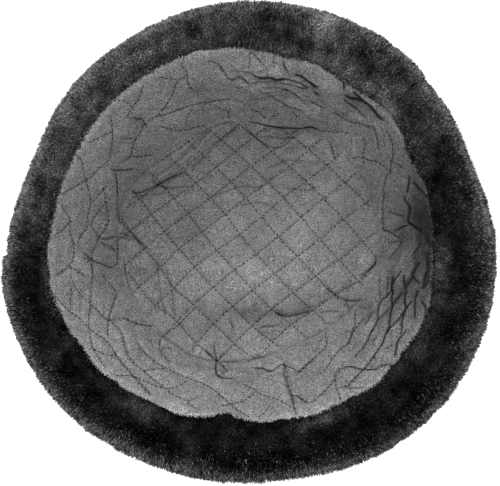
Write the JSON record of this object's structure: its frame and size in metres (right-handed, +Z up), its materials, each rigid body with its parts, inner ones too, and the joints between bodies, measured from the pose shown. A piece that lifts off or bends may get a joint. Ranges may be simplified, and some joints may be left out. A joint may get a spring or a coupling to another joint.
{
  "type": "ushanka",
  "caption": "Winter fur hat with its visor and ear flaps turned up, lying on its crown, opening upwards, with a diamond-quilted lining.",
  "frame": {"origin": "on the floor, in the middle of the crown's flat outside face that the hat lies on", "axes": "+Z up through the opening, -Y towards the hat's front, +X towards the wearer's left with the hat upside down"},
  "size_m": [0.2453, 0.2419, 0.1258],
  "materials": {
    "crown_cloth": "matt dark grey wool cloth",
    "quilted_lining": "matt grey cotton sateen, quilted in diamonds",
    "flap_cloth": "matt dark grey wool cloth",
    "fur": "dense sheared plush pile, near black"
  },
  "bodies": {
    "root": {"crown_top": "crown_cloth", "crown_wall": "crown_cloth", "lining_top": "quilted_lining", "lining_wall": "quilted_lining", "visor_backing": "flap_cloth", "visor_fur": "fur", "flap_backing": "flap_cloth", "flap_fur": "fur"}
  },
  "joints": []
}
